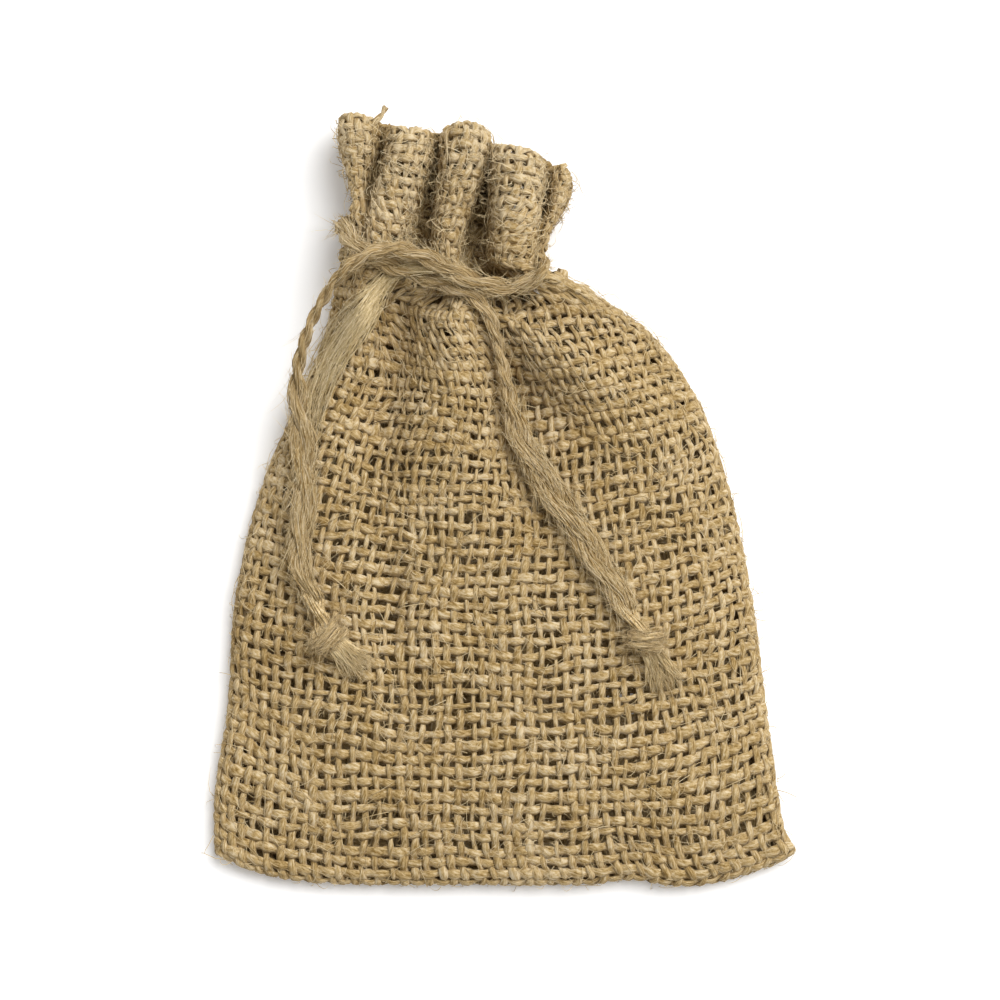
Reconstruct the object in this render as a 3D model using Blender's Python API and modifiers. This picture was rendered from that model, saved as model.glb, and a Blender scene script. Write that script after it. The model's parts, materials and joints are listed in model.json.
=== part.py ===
"""A small jute drawstring bag, lying on its back with its neck gathered and tied by a jute cord.

Run it with: blender --background --python part.py
Metres, +Z up. The origin is under the middle of the bag, on the surface that it lies on, and the
mouth points along +Y. The tables hold millimetres.
"""

import math

import bmesh
import bpy
import numpy as np

MM = 0.001

# The cloth, as it is sewn: one strip folded up at the bottom and closed at both sides.
CLOTH_HEIGHT = 132.0
TIE_CLOTH = 110.0
WALL = 1.6
SIDE_RADIUS = 2.2
SHOULDER_CLOTH = 86.0

# The drawcord.
CORD_DIAMETER = 3.2
CORD_POINTS = 62
CORD_BEVEL_RESOLUTION = 2
CORD_CLEARANCE = 0.33

# How finely the bag's solid is faceted.
RING_STEPS = 80
SIDE_CROWDING = 0.35
BODY_ROWS = (0.0, 0.9, 2.0, 3.4, 7.0, 12.0, 19.0, 28.0, 38.0, 48.0, 58.0, 67.0, 75.0, 82.0, 88.0, 93.0,
             97.5, 101.5, 105.0, 107.8, 110.0)
RUFFLE_ROWS = (111.6, 113.6, 116.4, 120.0, 124.0, 128.0, 132.0)

JUTE = (0.36, 0.245, 0.125, 1.0)
CORD_JUTE = (0.42, 0.30, 0.16, 1.0)

# Where the outline lies at each height up the cloth, and how far the front stands above its sides.
# cloth, left x, left y, middle y, right x, right y, crown, squareness of the row's ends
STATIONS = np.array((
    (0.0, -49.9, -60.0, -66.1, 50.05, -59.2, 0.0, 6.0),
    (10.0, -50.0, -50.1, -56.3, 46.9, -50.0, 3.6, 5.0),
    (25.0, -47.8, -35.2, -41.7, 44.7, -35.1, 7.2, 3.2),
    (45.0, -46.2, -15.3, -22.0, 42.1, -15.3, 9.4, 2.2),
    (65.0, -41.3, 4.2, -2.1, 37.8, 4.2, 10.6, 2.0),
    (80.0, -35.5, 17.9, 12.4, 32.0, 18.1, 11.2, 2.0),
    (92.0, -31.2, 29.2, 24.2, 25.1, 27.7, 11.2, 2.0),
    (100.0, -29.2, 36.6, 32.1, 18.9, 32.8, 10.8, 2.0),
    (106.0, -27.3, 42.4, 38.0, 10.6, 37.8, 10.4, 2.0),
    (110.0, -25.3, 44.8, 41.7, 4.0, 38.6, 10.0, 2.0),
))

# The gathers round the neck, from the left side over the front to the right side, and back below.
# x and z at the cord, x, z and y at the hem, and how full the fold is there
FRONT_GATHERS = 10
GATHERS = np.array((
    (-25.3, 9.6, -29.4, 8.0, 65.0, 1.0),
    (-24.6, 13.0, -25.4, 14.6, 65.6, 1.6),
    (-22.4, 12.4, -20.8, 11.4, 64.4, 1.0),
    (-18.6, 15.6, -16.2, 16.4, 63.2, 2.1),
    (-13.8, 12.5, -11.9, 12.0, 62.7, 1.0),
    (-9.6, 15.2, -7.1, 17.4, 64.2, 2.2),
    (-5.2, 12.6, -2.8, 12.0, 61.7, 1.0),
    (-0.4, 15.9, 2.0, 19.0, 59.8, 2.2),
    (3.0, 12.8, 6.9, 11.4, 57.9, 1.0),
    (4.3, 11.2, 9.9, 13.6, 57.0, 1.5),
    (4.1, 8.8, 12.4, 7.0, 54.8, 1.0),
    (2.1, 4.3, 8.1, 0.4, 56.9, 1.8),
    (-1.3, 4.4, 4.0, 2.4, 58.2, 1.0),
    (-5.4, 4.0, -0.8, 0.4, 59.9, 1.8),
    (-9.7, 4.3, -5.9, 2.4, 61.7, 1.0),
    (-14.1, 4.0, -11.9, 0.4, 63.7, 1.8),
    (-18.4, 4.4, -17.9, 2.4, 65.1, 1.0),
    (-22.9, 4.0, -24.4, 0.4, 66.4, 1.8),
))

# The folds that run down the front from the neck: ridges stand up and hollows go in.
# x, y at the upper end, x, y at the lower end, height, half width at each end, strength at the upper end
FOLDS = np.array((
    (-25.1, 36.7, -33.0, 11.9, 2.6, 3.0, 6.0, 1.0),
    (-16.5, 36.7, -20.5, 5.1, -3.4, 3.2, 7.0, 1.0),
    (-9.3, 36.7, -6.3, 8.5, 2.2, 2.5, 4.5, 1.0),
    (-3.9, 34.2, 0.6, 8.5, -3.0, 2.2, 3.6, 1.0),
    (6.1, 35.9, 27.5, 14.5, 2.8, 3.0, 6.0, 1.0),
    (1.8, 29.9, 16.4, 8.5, -3.4, 3.2, 8.0, 1.0),
    (0.6, 12.0, 20.6, -32.6, -1.6, 4.0, 6.0, 0.0),
    (-21.3, 9.0, -20.5, -31.0, -1.2, 7.0, 9.0, 0.0),
    (24.9, -6.0, 33.5, -50.0, 1.0, 9.0, 9.0, 0.0),
    (-14.5, -30.0, 2.7, -52.0, -0.8, 8.0, 8.0, 0.0),
))

# The bottom fold isn't straight: place across, how far it stands in, half width.
BOTTOM_WAVES = np.array(((0.70, 1.5, 0.045), (0.84, -0.9, 0.06)))

# The cord's route: up from the left knot and over the left shoulder, across the front of the neck,
# round its right edge, back under it, round its left edge, across the front below itself, and down to
# the right knot.
# x, y, least z, 1 where it lies on the front
CORD_ROUTE = np.array((
    (-32.7, -18.6, 9.0, 1), (-34.2, -15.6, 9.0, 1), (-35.3, -11.5, 9.0, 1), (-35.0, -6.0, 9.5, 1),
    (-34.5, 0.0, 10.0, 1), (-34.6, 6.0, 10.5, 1), (-35.3, 12.5, 11.0, 1), (-35.8, 18.8, 12.0, 1),
    (-35.1, 24.3, 13.6, 1), (-33.2, 29.4, 15.4, 1), (-30.4, 34.3, 17.0, 1), (-27.2, 38.2, 19.6, 1),
    (-22.8, 40.4, 21.2, 1), (-17.6, 40.7, 21.2, 1), (-12.4, 39.7, 20.8, 1), (-7.6, 37.7, 20.8, 1),
    (-2.6, 36.0, 20.6, 1), (2.2, 36.1, 18.6, 1), (6.6, 39.0, 16.9, 1), (7.6, 41.0, 11.6, 0),
    (7.0, 41.3, 7.0, 0), (5.0, 40.7, 2.6, 0), (-0.6, 40.2, 1.8, 0), (-8.0, 41.9, 1.9, 0),
    (-15.0, 43.4, 1.9, 0), (-22.4, 45.2, 1.7, 0), (-27.2, 46.0, 3.6, 0), (-28.6, 46.6, 8.2, 0),
    (-28.4, 46.2, 12.8, 0), (-27.2, 43.4, 16.2, 1), (-24.4, 40.9, 17.0, 1), (-20.6, 38.8, 17.0, 1),
    (-15.6, 36.9, 17.0, 1), (-10.2, 35.4, 17.0, 1), (-5.4, 34.0, 17.0, 1), (-2.4, 31.4, 16.6, 1),
    (-1.3, 27.6, 16.0, 1), (-0.2, 22.0, 15.0, 1), (1.0, 16.4, 15.0, 1), (3.2, 10.4, 15.0, 1),
    (7.4, 3.2, 14.0, 1), (11.6, -3.4, 14.0, 1), (15.6, -10.4, 14.0, 1), (19.2, -16.4, 13.0, 1),
    (21.2, -20.2, 13.0, 1),
))

# The two end knots, each with its tuft of loose ends.
# x, y, half width across, half height
KNOT_LEFT = np.array((
    (-32.3, -19.7, 1.5, 1.5), (-32.0, -21.4, 2.9, 2.4), (-31.6, -23.9, 3.6, 2.9),
    (-30.9, -26.4, 3.5, 2.8), (-29.9, -28.4, 2.6, 2.2), (-28.6, -29.7, 2.2, 1.7),
    (-26.6, -30.9, 2.3, 1.5), (-24.6, -31.7, 1.9, 1.2),
))
KNOT_RIGHT = np.array((
    (21.7, -21.3, 1.5, 1.5), (22.3, -22.8, 3.0, 2.4), (23.2, -24.9, 3.7, 2.8),
    (24.2, -27.0, 3.2, 2.5), (25.0, -28.8, 2.2, 1.8), (25.9, -30.6, 2.3, 1.6),
    (26.8, -32.4, 2.4, 1.4), (27.6, -34.0, 1.9, 1.1),
))
KNOT_SIDES = 12
KNOT_RINGS = 14
GAP = 0.4


def smoothstep(x):
    x = np.clip(x, 0.0, 1.0)
    return x * x * (3.0 - 2.0 * x)


def hermite(u, start, end, slope_in, slope_out):
    """A cubic from start to end with these slopes, as u goes from 0 to 1."""
    u2, u3 = u * u, u * u * u
    return ((2 * u3 - 3 * u2 + 1) * start + (u3 - 2 * u2 + u) * slope_in
            + (3 * u2 - 2 * u3) * end + (u3 - u2) * slope_out)


def station(cloth, column):
    """A column of STATIONS at any height up the cloth, on a cubic through its rows."""
    knots, values = STATIONS[:, 0], STATIONS[:, column]
    slopes = np.gradient(values, knots)
    i = np.clip(np.searchsorted(knots, cloth) - 1, 0, len(knots) - 2)
    step = knots[i + 1] - knots[i]
    return hermite((cloth - knots[i]) / step, values[i], values[i + 1], slopes[i] * step, slopes[i + 1] * step)


def turned(along, radius):
    """Cloth that turns round an edge: how far in it has come, and its rise as a share of the radius."""
    angle = np.minimum(along / radius, math.pi / 2)
    return radius * (1 - np.cos(angle)) + np.maximum(along - radius * math.pi / 2, 0.0), np.sin(angle)


def gathered(index, column, fullness=False):
    """A column of GATHERS round the closed ring of folds, at a fractional row index."""
    count = len(GATHERS)
    values = GATHERS[:, column]
    slopes = (np.roll(values, -1) - np.roll(values, 1)) / 2
    if fullness:
        slopes = slopes * GATHERS[:, 5]
    i = np.floor(index).astype(int) % count
    j = (i + 1) % count
    return hermite(index - np.floor(index), values[i], values[j], slopes[i], slopes[j])


def gather_index(around):
    """The row index of GATHERS that lies at a share of the way round the cloth, by equal lengths of it."""
    count = len(GATHERS)
    fine = np.linspace(0.0, count, count * 40 + 1)
    x = 0.5 * (gathered(fine, 0, True) + gathered(fine, 2, True))
    z = 0.5 * (gathered(fine, 1) + gathered(fine, 3))
    length = np.concatenate(([0.0], np.cumsum(np.hypot(np.diff(x), np.diff(z)))))
    half = FRONT_GATHERS * 40
    share = np.where(fine <= FRONT_GATHERS, 0.5 * length / length[half],
                     0.5 + 0.5 * (length - length[half]) / (length[-1] - length[half]))
    return np.interp(around, share, fine)


def fold_height(x, y):
    """How far the folds of the front lift it at a place in plan."""
    lift = np.zeros_like(x)
    for x0, y0, x1, y1, height, width0, width1, strength in FOLDS:
        run_x, run_y = x1 - x0, y1 - y0
        length = math.hypot(run_x, run_y)
        down = ((x - x0) * run_x + (y - y0) * run_y) / length**2
        aside = ((x - x0) * run_y - (y - y0) * run_x) / length
        width = width0 + (width1 - width0) * np.clip(down, 0.0, 1.0)
        begin = strength + (1 - strength) * smoothstep(down / 0.4)
        lift += height * begin * (1 - smoothstep(down)) * np.exp(-((aside / width) ** 2))
    return lift


def body_point(around, cloth):
    """The outer face below the cord. around runs once round the bag, from its left side over the front."""
    front = around <= 0.5
    across = np.where(front, 2 * around, 2 - 2 * around)
    left, right = station(cloth, 1), station(cloth, 4)
    width = right - left
    in_from_side = np.minimum(across, 1 - across) * (width + 2 * SIDE_RADIUS * (math.pi / 2 - 1))
    inward, side_rise = turned(in_from_side, SIDE_RADIUS)
    place = np.where(across < 0.5, inward, width - inward) / width
    up_cloth, bottom_rise = turned(cloth, SIDE_RADIUS)

    tie = smoothstep((cloth - SHOULDER_CLOTH) / (TIE_CLOTH - SHOULDER_CLOTH))
    index = gather_index(around)
    tie_left, tie_right = STATIONS[-1, 1], STATIONS[-1, 4]
    tie_place = (gathered(index, 0, True) - tie_left) / (tie_right - tie_left)
    place = place + (tie_place - place) * tie
    x = left + width * place

    ends = np.abs(2 * np.clip(place, 0.0, 1.0) - 1) ** station(cloth, 7)
    ends_y = np.where(place < 0.5, station(up_cloth, 2), station(up_cloth, 5))
    y = station(up_cloth, 3) * (1 - ends) + ends_y * ends
    for middle, stands_in, half_width in BOTTOM_WAVES:
        y += stands_in * np.exp(-(((place - middle) / half_width) ** 2)) * (1 - smoothstep(cloth / 22.0))

    rise = SIDE_RADIUS * side_rise * bottom_rise
    dome = 1 - np.abs(2 * across - 1) ** 3.2
    near_side = smoothstep(in_from_side / 9.0) * smoothstep(cloth / 9.0)
    lift = station(cloth, 6) * dome + fold_height(x, y) * near_side
    z = np.where(front, SIDE_RADIUS + rise + lift, SIDE_RADIUS - rise)
    return x, y, z + (gathered(index, 1) - z) * tie


def ruffle_point(around, cloth):
    """The outer face above the cord, where the gathers spread towards the hem."""
    index = gather_index(around)
    share = (cloth - TIE_CLOTH) / (CLOTH_HEIGHT - TIE_CLOTH)
    tie_x, tie_z = gathered(index, 0, True), gathered(index, 1)
    x = tie_x + (gathered(index, 2, True) - tie_x) * smoothstep(share)
    z = tie_z + (gathered(index, 3) - tie_z) * smoothstep(share / 0.8)
    return x, tie_y(tie_x) + (gathered(index, 4) - tie_y(tie_x)) * share, z


def tie_y(x):
    """The line that the cord draws across the neck, higher on the left."""
    left_x, left_y, right_x, right_y = STATIONS[-1, [1, 2, 4, 5]]
    return left_y + (right_y - left_y) * (x - left_x) / (right_x - left_x)


def cloth_point(around, cloth):
    below = body_point(around, np.minimum(cloth, TIE_CLOTH))
    above = ruffle_point(around, np.maximum(cloth, TIE_CLOTH))
    return np.stack([np.where(cloth <= TIE_CLOTH, b, a) for b, a in zip(below, above)], axis=-1)


def smooth_curve(table, count):
    """Evenly spaced points on a smooth curve through the table's rows, with its other columns."""
    rows = np.vstack([2 * table[0] - table[1], table, 2 * table[-1] - table[-2]])
    u = np.linspace(0.0, len(table) - 1.0, 40 * len(table))
    i = np.minimum(u.astype(int), len(table) - 2)
    t = (u - i)[:, None]
    a, b, c, d = rows[i], rows[i + 1], rows[i + 2], rows[i + 3]
    curve = 0.5 * (2 * b + (c - a) * t + (2 * a - 5 * b + 4 * c - d) * t**2 + (3 * b - a - 3 * c + d) * t**3)
    length = np.concatenate(([0.0], np.cumsum(np.linalg.norm(np.diff(curve[:, :3], axis=0), axis=1))))
    even = np.linspace(0.0, length[-1], count)
    return np.stack([np.interp(even, length, column) for column in curve.T], axis=-1)


def resting_height(x, y, radius):
    """The height at which a ball of this radius comes to rest on the front of the bag."""
    around, cloth = np.meshgrid(np.linspace(0.0, 0.5, 181), np.linspace(0.0, CLOTH_HEIGHT, 221))
    skin = cloth_point(around, cloth).reshape(-1, 3)
    height = np.zeros(len(x))
    for i in range(len(x)):
        reach = radius[i] + GAP
        away = (skin[:, 0] - x[i]) ** 2 + (skin[:, 1] - y[i]) ** 2
        near = away < reach**2
        if near.any():
            height[i] = (skin[near, 2] + np.sqrt(reach**2 - away[near])).max()
    return height


def laid(height, least, rounds):
    """Heights along a cord that bends evenly and stays above the least ones."""
    height = np.maximum(height, least)
    for _ in range(rounds):
        level = height.copy()
        level[1:-1] = 0.25 * height[:-2] + 0.5 * height[1:-1] + 0.25 * height[2:]
        height = np.maximum(level, least)
    return height


def cord_points(count):
    """The centreline of the cord, resting on the front and under the back of the neck."""
    x, y, z, on_front = smooth_curve(CORD_ROUTE, 4 * count).T
    rest = resting_height(x, y, np.full(len(x), CORD_DIAMETER / 2 + CORD_CLEARANCE))
    least = np.where(on_front > 0.5, np.maximum(z, rest), z)
    z = laid(least, np.where(on_front > 0.5, rest, 0.0), 30)
    return smooth_curve(np.stack([x, y, np.where(on_front > 0.02, z, least)], axis=-1), count)


def knot_points(table):
    x, y, across, upward = smooth_curve(np.insert(table, 2, 0.0, axis=1), KNOT_RINGS).T[[0, 1, 3, 4]]
    rest = resting_height(x, y, np.maximum(across, upward))
    rest -= np.maximum(across - upward, 0.0)
    return np.stack([x, y, laid(rest, rest, 6), across, upward], axis=-1)


def ring_places():
    """Shares of the way round the cloth, closer together at the two sides, where it turns."""
    even = np.arange(RING_STEPS) / RING_STEPS
    return even - SIDE_CROWDING * np.sin(2 * math.tau * even) / (2 * math.tau)


def clear_scene():
    for obj in list(bpy.data.objects):
        bpy.data.objects.remove(obj, do_unlink=True)


def jute_material(name, colour, roughness):
    material = bpy.data.materials.new(name)
    material.use_nodes = True
    shader = material.node_tree.nodes["Principled BSDF"]
    shader.inputs["Base Color"].default_value = colour
    shader.inputs["Roughness"].default_value = roughness
    shader.inputs["Metallic"].default_value = 0.0
    return material


def add_bag(collection, material):
    """The bag: a loft of rings from the bottom fold up to the hem, its wall grown inwards."""
    around = ring_places()
    rows = np.array(BODY_ROWS + RUFFLE_ROWS)
    points = cloth_point(*np.meshgrid(around, rows)) * MM
    row, step = np.meshgrid(np.arange(len(rows) - 1), np.arange(RING_STEPS), indexing="ij")
    following = (step + 1) % RING_STEPS
    faces = np.stack([row * RING_STEPS + step, row * RING_STEPS + following,
                      (row + 1) * RING_STEPS + following, (row + 1) * RING_STEPS + step], axis=-1)
    mesh = bpy.data.meshes.new("bag")
    mesh.from_pydata(points.reshape(-1, 3).tolist(), [], faces.reshape(-1, 4).tolist())
    shaped = bmesh.new()
    shaped.from_mesh(mesh)
    bmesh.ops.remove_doubles(shaped, verts=shaped.verts, dist=0.01 * MM)
    shaped.to_mesh(mesh)
    shaped.free()
    mesh.shade_smooth()
    bag = bpy.data.objects.new("bag", mesh)
    collection.objects.link(bag)
    bag.data.materials.append(material)
    wall = bag.modifiers.new("wall", "SOLIDIFY")
    wall.thickness = WALL * MM
    wall.offset = -1.0
    return bag


def add_cord(collection, material):
    curve = bpy.data.curves.new("drawcord", "CURVE")
    curve.dimensions = "3D"
    curve.bevel_depth = CORD_DIAMETER / 2 * MM
    curve.bevel_resolution = CORD_BEVEL_RESOLUTION
    curve.use_fill_caps = True
    points = cord_points(CORD_POINTS) * MM
    spline = curve.splines.new("POLY")
    spline.points.add(len(points) - 1)
    for point, place in zip(spline.points, points):
        point.co = (*place, 1.0)
    cord = bpy.data.objects.new("drawcord", curve)
    collection.objects.link(cord)
    cord.data.materials.append(material)
    return cord


def add_knot(name, table, collection, material):
    """A knot: a swelling loft that narrows again and ends in loose ends, which are fused into it."""
    rows = knot_points(table)
    centre, across, upward = rows[:, :3], rows[:, 3], rows[:, 4]
    along = np.gradient(centre, axis=0)
    along /= np.linalg.norm(along, axis=1)[:, None]
    side = np.cross(along, (0.0, 0.0, 1.0))
    side /= np.linalg.norm(side, axis=1)[:, None]
    up = np.cross(side, along)
    turn = np.linspace(0.0, math.tau, KNOT_SIDES, endpoint=False)
    rings = (centre[:, None] + side[:, None] * (across[:, None] * np.cos(turn))[..., None]
             + up[:, None] * (upward[:, None] * np.sin(turn))[..., None])
    ring, step = np.meshgrid(np.arange(len(rows) - 1), np.arange(KNOT_SIDES), indexing="ij")
    following = (step + 1) % KNOT_SIDES
    faces = np.stack([ring * KNOT_SIDES + step, ring * KNOT_SIDES + following,
                      (ring + 1) * KNOT_SIDES + following, (ring + 1) * KNOT_SIDES + step], axis=-1)
    last = (len(rows) - 1) * KNOT_SIDES
    caps = [list(range(KNOT_SIDES))[::-1], list(range(last, last + KNOT_SIDES))]
    mesh = bpy.data.meshes.new(name)
    mesh.from_pydata((rings * MM).reshape(-1, 3).tolist(), [], faces.reshape(-1, 4).tolist() + caps)
    shaped = bmesh.new()
    shaped.from_mesh(mesh)
    bmesh.ops.recalc_face_normals(shaped, faces=shaped.faces)
    shaped.to_mesh(mesh)
    shaped.free()
    mesh.shade_smooth()
    knot = bpy.data.objects.new(name, mesh)
    collection.objects.link(knot)
    knot.data.materials.append(material)
    return knot


def main():
    clear_scene()
    collection = bpy.data.collections.new("jute drawstring bag")
    bpy.context.scene.collection.children.link(collection)
    add_bag(collection, jute_material("jute cloth", JUTE, 0.92))
    cord_material = jute_material("jute cord", CORD_JUTE, 0.9)
    add_cord(collection, cord_material)
    add_knot("knot_left", KNOT_LEFT, collection, cord_material)
    add_knot("knot_right", KNOT_RIGHT, collection, cord_material)


main()
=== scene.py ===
"""The looks of a small jute drawstring bag, yarn by yarn, as an add-on that can also be run as a script.

The bag's cloth is woven here from single yarns in the draped shape that its solid has, the drawcord and
its two end knots are laid from loosely twisted fibres, and loose hairs stand out of both. Tables and
shapes are in millimetres, and the meshes are in metres.
"""

import json
import math

import bpy
import numpy as np
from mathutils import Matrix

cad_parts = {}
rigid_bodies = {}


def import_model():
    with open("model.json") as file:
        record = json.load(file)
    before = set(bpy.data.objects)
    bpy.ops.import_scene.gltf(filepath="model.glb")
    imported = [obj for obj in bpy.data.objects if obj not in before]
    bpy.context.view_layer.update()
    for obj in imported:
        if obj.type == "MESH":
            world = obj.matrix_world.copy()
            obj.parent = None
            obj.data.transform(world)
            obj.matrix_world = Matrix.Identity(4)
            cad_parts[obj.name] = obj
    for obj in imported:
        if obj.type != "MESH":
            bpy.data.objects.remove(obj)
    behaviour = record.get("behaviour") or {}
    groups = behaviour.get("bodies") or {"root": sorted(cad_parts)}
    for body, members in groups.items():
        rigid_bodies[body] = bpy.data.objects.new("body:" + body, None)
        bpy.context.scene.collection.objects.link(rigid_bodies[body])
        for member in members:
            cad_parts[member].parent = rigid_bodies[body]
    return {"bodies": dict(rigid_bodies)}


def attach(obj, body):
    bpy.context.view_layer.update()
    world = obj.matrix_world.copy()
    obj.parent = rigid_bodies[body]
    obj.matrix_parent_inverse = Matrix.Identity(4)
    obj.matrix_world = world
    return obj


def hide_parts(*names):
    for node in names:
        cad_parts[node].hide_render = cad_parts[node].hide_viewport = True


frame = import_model()

bl_info = {
    "name": "Jute drawstring bag",
    "version": (1, 0, 0),
    "blender": (4, 5, 0),
    "location": "3D View > Sidebar > Jute bag",
    "description": "Weaves the bag's cloth, lays its cord and sets the stage",
    "category": "Object",
}

MM = 0.001

# Heights up the cloth from its bottom fold: the hem, the cord, where the cloth starts to draw together
# towards the cord, and where it starts to take the gathers' heights.
CLOTH_HEIGHT = 132.0
TIE_CLOTH = 110.0
SHOULDER_CLOTH = 86.0
PINCH_CLOTH = 97.5

# The radius at which the cloth turns at its sides and its bottom, how far its middle surface lies inside
# its outer face, the radius of the hem's turn, and about how long the cloth is round the bag.
SIDE_RADIUS = 2.2
CLOTH_DEPTH = 0.75
HEM_TURN = 0.85
RING_LENGTH = 200.0

# The front is a dome across, whose flatness on top is this power. No fold stands within EDGE_FLAT of the
# sides and the bottom, and the bottom's waves reach this far up the cloth.
DOME_POWER = 3.2
EDGE_FLAT = 9.0
WAVE_REACH = 22.0

# Where the outline lies at each height up the cloth, and how far the front stands above its sides.
# cloth, left x, left y, middle y, right x, right y, crown, squareness of the row's ends
STATIONS = np.array((
    (0, -50.4, -62.2, -68, 49.7, -62.6, 0, 6),
    (10, -50.4, -51.6, -57.6, 47.8, -51.8, 3.6, 5),
    (25, -48.2, -36, -42.4, 45.6, -36, 7.2, 3.2),
    (45, -46.6, -15.7, -22.3, 42.9, -15.7, 9.4, 2.2),
    (65, -41.7, 4.2, -2.1, 38.6, 4.2, 10.6, 2),
    (80, -35.8, 17.9, 12.4, 33.3, 18.3, 11.2, 2),
    (92, -31.2, 29.2, 24.2, 26, 28, 11.2, 2),
    (100, -29.2, 36.6, 32.1, 18.9, 32.8, 10.8, 2),
    (106, -27.3, 42.4, 38, 10.6, 37.8, 10.4, 2),
    (110, -25.3, 44.8, 41.7, 4, 38.6, 10, 2),
))

# The gathers round the neck, from the left side over the front to the right side, and back below.
# x and z at the cord, x, z and y at the hem, and how full the fold is at the cord and at the hem
FRONT_GATHERS = 10
GATHERS = np.array((
    (-25.3, 9.4, -28.9, 8, 64, 1, 1),
    (-25.8, 12, -25.2, 14.4, 64.4, 2.2, 3),
    (-24.6, 9.2, -20.8, 6.2, 62.6, 0.8, 0.2),
    (-20.4, 15.8, -16.4, 16.6, 62, 3, 3.6),
    (-14.1, 4.2, -11.7, 5, 61.2, 1.6, 0.1),
    (-10, 14, -6.4, 16.6, 63, 3, 3.6),
    (-5.1, 4.4, -2.2, 4.6, 59.4, 2, -0.3),
    (0.9, 18, 2.2, 19.6, 58.6, 3.4, 4.2),
    (5.3, 10.6, 7.2, 6, 55.6, 0.5, 0),
    (5.7, 11.2, 9.8, 13.2, 55.6, 1.8, 2.2),
    (5, 8.4, 12, 6.8, 53.8, 1, 1),
    (2.1, 2.8, 8.1, 0.8, 55.9, 1.8, 1.8),
    (-1.3, 5.6, 4, 4.6, 57.2, 0.4, 0.4),
    (-5.4, 2.2, -0.8, 0.8, 57.8, 1.9, 1.9),
    (-9.7, 6.8, -5.9, 4.8, 59.4, 0.4, 0.4),
    (-14.1, 2.2, -11.9, 0.8, 61, 1.9, 1.9),
    (-18.4, 6.8, -17.9, 4.8, 62, 0.4, 0.4),
    (-22.9, 3, -24, 0.8, 63.4, 1.8, 1.8),
))

# The folds that run down the front from the neck: ridges stand up and hollows go in.
# x, y at the upper end, x, y at the lower end, height, half width at each end, strength at the upper end
FOLDS = np.array((
    (-25.1, 36.7, -34, 4.9, 3, 3, 5, 1),
    (-16.6, 39, -26, -18, -8.6, 3, 6, 0.6),
    (-9, 36.7, -8, 2, 4.8, 3, 5, 1),
    (2, 30.5, 34, 6.5, 5.2, 3, 7, 0.4),
    (-2.4, 32, 10, -14, -9.8, 2.2, 8.5, 0),
    (2, 24, 24, -8, -4.4, 3, 6, 0),
    (0.6, 12, 20.6, -32.6, -2, 4, 6, 0),
    (-19.6, -4, -19.2, -44, -4.2, 3.2, 3.6, 0),
    (24.9, -2, 33.5, -50, 1.2, 9, 9, 0),
    (-7, 10, -9, -30, 1.4, 5, 7, 0),
    (-14.5, -30, 2.7, -52, -1, 8, 8, 0),
))

# The creases that run down the back from the neck, in the same columns.
BACK_FOLDS = np.array((
    (-18.4, 43, -22, 19, 4, 1.8, 3, 1),
    (-9.7, 41, -9, 17, 4, 1.8, 3, 1),
    (-1.3, 39, 4, 17, 4, 1.8, 3, 1),
    (5, 35, 18, 15, 3, 2, 3, 1),
))

# The bottom fold isn't straight: place across, how far it stands in, half width.
BOTTOM_WAVES = np.array(((0.72, 0.9, 0.045), (0.84, -0.6, 0.06)))

# The lower right corner swells out: how far, how high up the cloth, half height.
CORNER_SWELL = (1.5, 2.4, 1.7)

# The cord's route: up from the left knot and over the left shoulder, across the front of the neck,
# round its right edge, back under it, round its left edge, across the front below itself, and down to
# the right knot.
# x, y, least z, 1 where it lies on the front
CORD_ROUTE = np.array((
    (-32.7, -18.6, 9, 1), (-34.2, -15.6, 9, 1), (-35.3, -11.5, 9, 1), (-35, -6, 9.5, 1),
    (-34.5, 0, 10, 1), (-34.6, 6, 10.5, 1), (-35.3, 12.5, 11, 1), (-35.8, 18.8, 12, 1),
    (-35.1, 24.3, 13.6, 1), (-33.2, 29.8, 15.4, 1), (-30.6, 34.6, 17, 1), (-27.6, 38.4, 19.4, 1),
    (-23.6, 41.2, 21, 1), (-18.8, 42.2, 21, 1), (-14.2, 41, 20.8, 1), (-10, 39, 20.8, 1),
    (-6.2, 37.2, 20.4, 1), (-2.2, 35.9, 19.6, 1), (2.2, 35.7, 18, 1), (5.6, 37.4, 16.4, 1),
    (6.8, 39.6, 11.6, 0), (6.4, 40.4, 7, 0), (4.6, 40.3, 2.6, 0), (-0.6, 40.2, 1.8, 0),
    (-8, 41.9, 1.9, 0), (-15, 43.4, 1.9, 0), (-22.4, 45.2, 1.7, 0), (-26.8, 46, 3.6, 0),
    (-27.9, 46.6, 8.2, 0), (-27.7, 46.2, 12.8, 0), (-26.6, 43.8, 16.2, 1), (-24, 41.6, 17, 1),
    (-19.8, 39.7, 17, 1), (-15, 38, 17, 1), (-10.4, 36.4, 17, 1), (-6.4, 34.7, 17, 1),
    (-3.6, 32.4, 16.8, 1), (-1.8, 28.8, 16.2, 1), (-0.6, 24, 15, 1), (0.8, 17.4, 15, 1),
    (2.5, 10.6, 15, 1), (6.3, 3.4, 14, 1), (11.1, -3.6, 14, 1), (15.4, -10.5, 14, 1),
    (19.2, -16.4, 13, 1), (21.2, -20.2, 13, 1),
))
CORD_LENGTH = 245.0

# In the cord's section, as shares of its half width: how far out each ply's middle lies, and the least and
# most that its fibre bundles lie from there. The bundles turn back by this share of the twist.
PLY_OUT, BUNDLES_OUT = 0.46, (0.36, 0.52)
COUNTER_TURN = 0.45

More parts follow.
